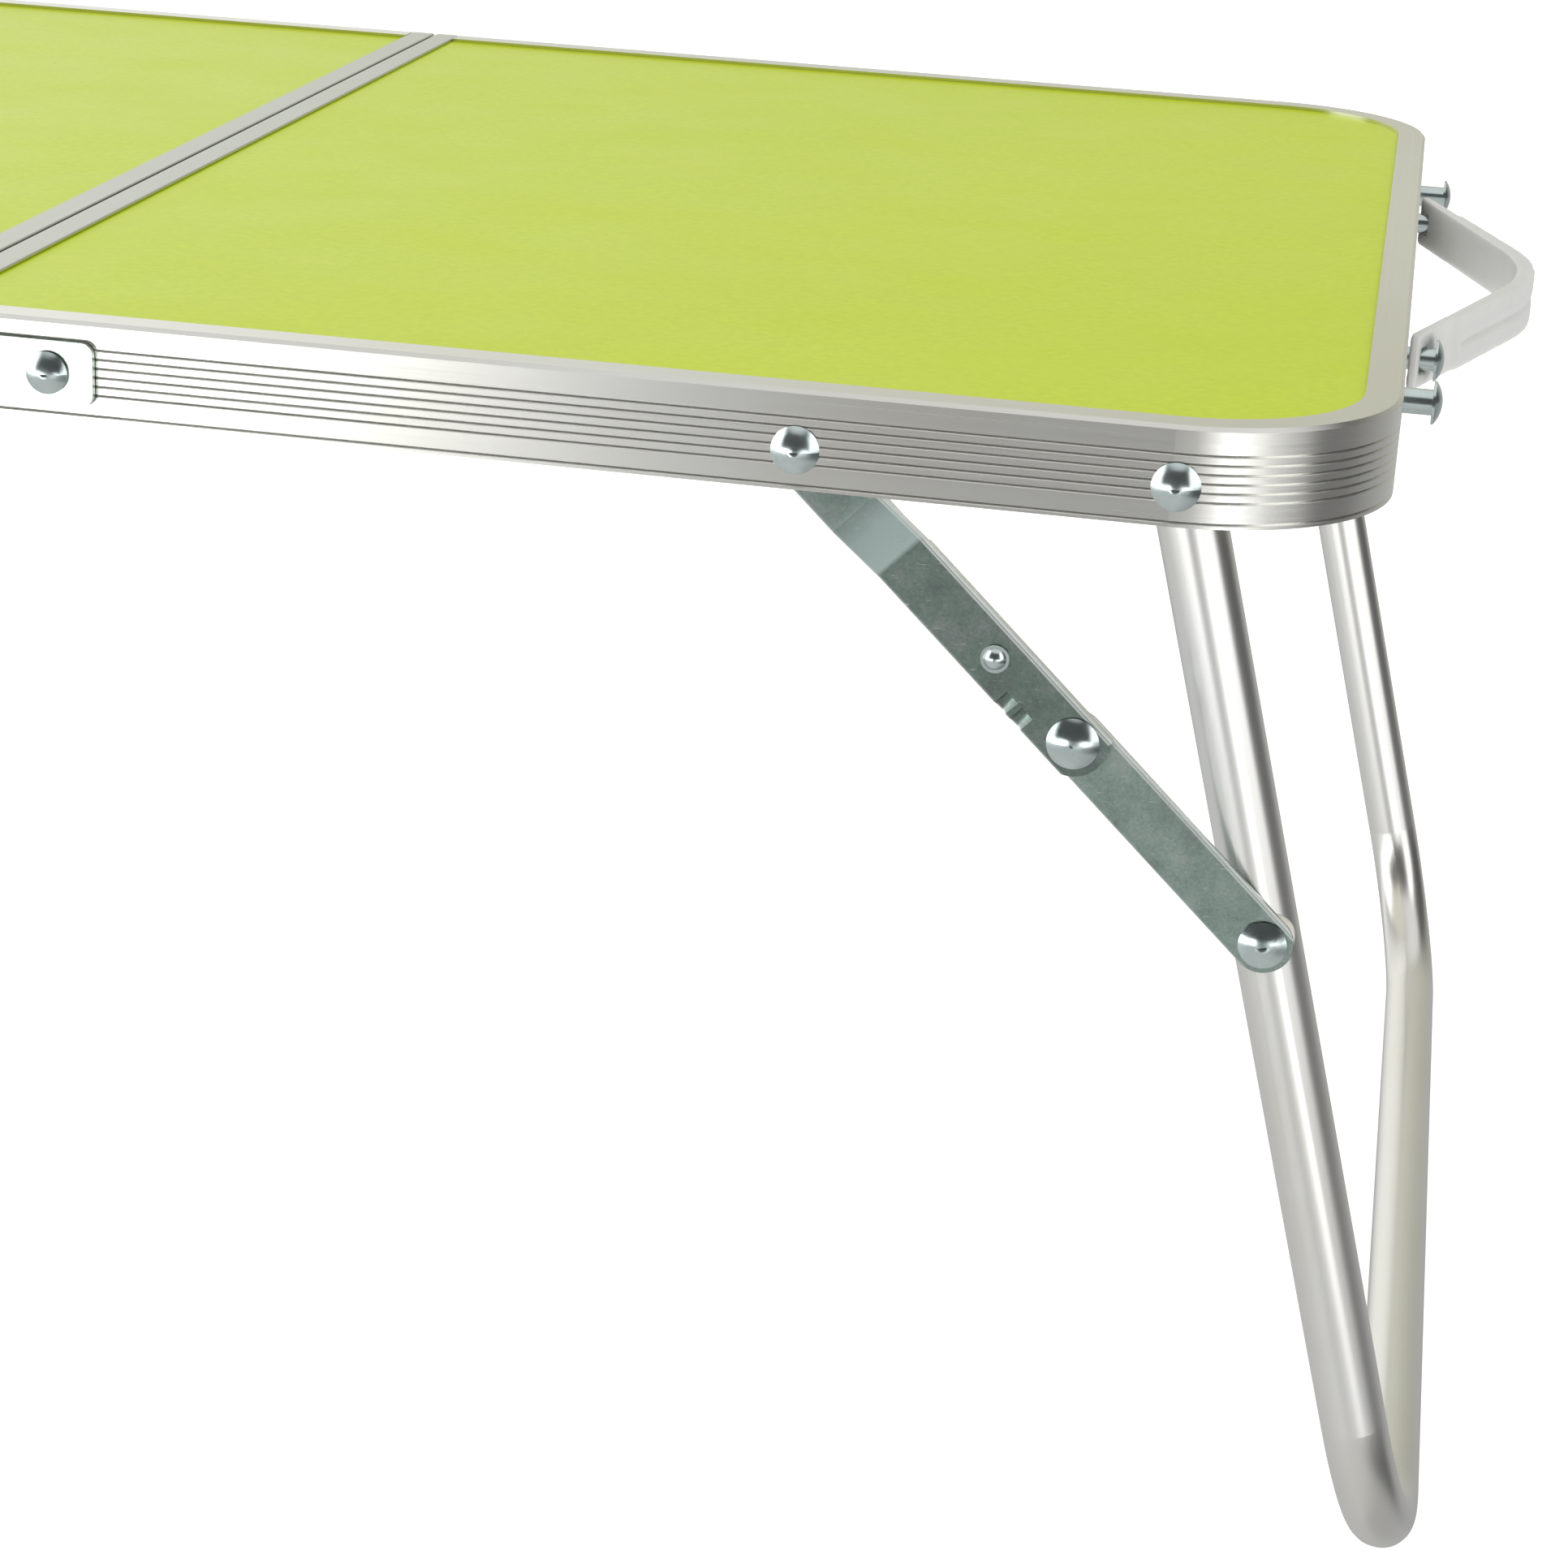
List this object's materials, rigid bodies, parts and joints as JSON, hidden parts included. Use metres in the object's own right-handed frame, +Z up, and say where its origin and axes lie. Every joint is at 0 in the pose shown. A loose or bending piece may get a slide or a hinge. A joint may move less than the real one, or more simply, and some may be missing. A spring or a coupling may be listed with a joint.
{
  "type": "folding picnic table",
  "caption": "Low folding picnic table: two framed half tops that close like a case, with swing-down tube legs, folding braces and a carry handle.",
  "frame": {"origin": "on the floor, straight below the middle of the seam between the two half tops", "axes": "+Z up, +X along the table towards the end with the carry handle, -Y towards the front long side"},
  "size_m": [0.6622, 0.4078, 0.262],
  "materials": {
    "green_laminate": "satin",
    "rail_aluminium": "brushed",
    "strip_aluminium": "satin",
    "tube_aluminium": "satin",
    "ivory_nylon": "matte",
    "white_plastic": "satin",
    "bright_rivet": "polished",
    "zinc_steel": "zinc plated"
  },
  "bodies": {
    "right_half": {"right_board": "green_laminate", "right_frame_rail": "rail_aluminium", "right_seam_strip": "strip_aluminium", "right_corner_cleats": "zinc_steel", "right_hinge_rivets": "bright_rivet", "right_leg_sleeves": "ivory_nylon", "right_leg_pivot_rivets": "bright_rivet", "right_brace_rail_rivets": "bright_rivet", "latch_studs": "bright_rivet", "handle_rivets": "bright_rivet"},
    "right_leg": {"right_leg_frame": "tube_aluminium", "right_leg_saddles": "ivory_nylon", "right_brace_leg_rivets": "bright_rivet"},
    "right_front_upper_brace": {"right_front_upper_link": "zinc_steel", "right_front_stop_pin": "bright_rivet", "right_front_brace_rivet_head": "bright_rivet"},
    "right_front_lower_brace": {"right_front_lower_link": "zinc_steel", "right_front_brace_rivet_tail": "bright_rivet"},
    "right_back_upper_brace": {"right_back_upper_link": "zinc_steel", "right_back_stop_pin": "bright_rivet", "right_back_brace_rivet_head": "bright_rivet"},
    "right_back_lower_brace": {"right_back_lower_link": "zinc_steel", "right_back_brace_rivet_tail": "bright_rivet"},
    "left_half": {"left_board": "green_laminate", "left_frame_rail": "rail_aluminium", "left_seam_strip": "strip_aluminium", "left_corner_cleats": "zinc_steel", "left_hinge_rivets": "bright_rivet", "left_leg_sleeves": "ivory_nylon", "left_leg_pivot_rivets": "bright_rivet", "left_brace_rail_rivets": "bright_rivet", "latch_rivets": "bright_rivet"},
    "left_leg": {"left_leg_frame": "tube_aluminium", "left_leg_saddles": "ivory_nylon", "left_brace_leg_rivets": "bright_rivet"},
    "left_front_upper_brace": {"left_front_upper_link": "zinc_steel", "left_front_stop_pin": "bright_rivet", "left_front_brace_rivet_head": "bright_rivet"},
    "left_front_lower_brace": {"left_front_lower_link": "zinc_steel", "left_front_brace_rivet_tail": "bright_rivet"},
    "left_back_upper_brace": {"left_back_upper_link": "zinc_steel", "left_back_stop_pin": "bright_rivet", "left_back_brace_rivet_head": "bright_rivet"},
    "left_back_lower_brace": {"left_back_lower_link": "zinc_steel", "left_back_brace_rivet_tail": "bright_rivet"},
    "hinge_plates": {"front_hinge_plate": "zinc_steel", "back_hinge_plate": "zinc_steel"},
    "handle_body": {"handle": "white_plastic"},
    "front_latch": {"front_latch_hook": "zinc_steel"},
    "back_latch": {"back_latch_hook": "zinc_steel"}
  },
  "joints": [
    {"name": "right_hinge", "type": "hinge", "parent": "right_half", "child": "hinge_plates", "pos_m": [0.033, 0, 0.2515], "axis": [0, -1, 0], "range_deg": [0, 90]},
    {"name": "left_hinge", "type": "hinge", "parent": "hinge_plates", "child": "left_half", "pos_m": [-0.033, 0, 0.2515], "axis": [0, -1, 0], "range_deg": [0, 90]},
    {"name": "right_leg_fold", "type": "hinge", "parent": "right_half", "child": "right_leg", "pos_m": [0.259, 0, 0.25], "axis": [0, 1, 0], "range_deg": [0, 105]},
    {"name": "right_front_upper_fold", "type": "hinge", "parent": "right_half", "child": "right_front_upper_brace", "pos_m": [0.185, 0, 0.25], "axis": [0, 1, 0], "range_deg": [0, 137]},
    {"name": "right_front_lower_fold", "type": "hinge", "parent": "right_leg", "child": "right_front_lower_brace", "pos_m": [0.28424, 0, 0.15582], "axis": [0, 1, 0], "range_deg": [-149, 0]},
    {"name": "right_back_upper_fold", "type": "hinge", "parent": "right_half", "child": "right_back_upper_brace", "pos_m": [0.185, 0, 0.25], "axis": [0, 1, 0], "range_deg": [0, 137]},
    {"name": "right_back_lower_fold", "type": "hinge", "parent": "right_leg", "child": "right_back_lower_brace", "pos_m": [0.28424, 0, 0.15582], "axis": [0, 1, 0], "range_deg": [-149, 0]},
    {"name": "left_leg_fold", "type": "hinge", "parent": "left_half", "child": "left_leg", "pos_m": [-0.259, 0, 0.25], "axis": [0, -1, 0], "range_deg": [0, 105]},
    {"name": "left_front_upper_fold", "type": "hinge", "parent": "left_half", "child": "left_front_upper_brace", "pos_m": [-0.185, 0, 0.25], "axis": [0, -1, 0], "range_deg": [0, 137]},
    {"name": "left_front_lower_fold", "type": "hinge", "parent": "left_leg", "child": "left_front_lower_brace", "pos_m": [-0.28424, 0, 0.15582], "axis": [0, -1, 0], "range_deg": [-149, 0]},
    {"name": "left_back_upper_fold", "type": "hinge", "parent": "left_half", "child": "left_back_upper_brace", "pos_m": [-0.185, 0, 0.25], "axis": [0, -1, 0], "range_deg": [0, 137]},
    {"name": "left_back_lower_fold", "type": "hinge", "parent": "left_leg", "child": "left_back_lower_brace", "pos_m": [-0.28424, 0, 0.15582], "axis": [0, -1, 0], "range_deg": [-149, 0]},
    {"name": "handle_slide", "type": "slide", "parent": "right_half", "child": "handle_body", "axis": [1, 0, 0], "range_m": [0, 0.0014]},
    {"name": "front_latch_turn", "type": "hinge", "parent": "left_half", "child": "front_latch", "pos_m": [-0.301, -0.12, 0.25195], "axis": [-1, 0, 0], "range_deg": [0, 90]},
    {"name": "back_latch_turn", "type": "hinge", "parent": "left_half", "child": "back_latch", "pos_m": [-0.301, 0.12, 0.25195], "axis": [1, 0, 0], "range_deg": [0, 90]}
  ],
  "couplings": [
    {"joint": "right_front_upper_fold", "follows": "right_leg_fold", "ratio": 1.3},
    {"joint": "right_front_lower_fold", "follows": "right_leg_fold", "ratio": -1.4143},
    {"joint": "right_back_upper_fold", "follows": "right_leg_fold", "ratio": 1.3},
    {"joint": "right_back_lower_fold", "follows": "right_leg_fold", "ratio": -1.4143},
    {"joint": "left_front_upper_fold", "follows": "left_leg_fold", "ratio": 1.3},
    {"joint": "left_front_lower_fold", "follows": "left_leg_fold", "ratio": -1.4143},
    {"joint": "left_back_upper_fold", "follows": "left_leg_fold", "ratio": 1.3},
    {"joint": "left_back_lower_fold", "follows": "left_leg_fold", "ratio": -1.4143}
  ]
}
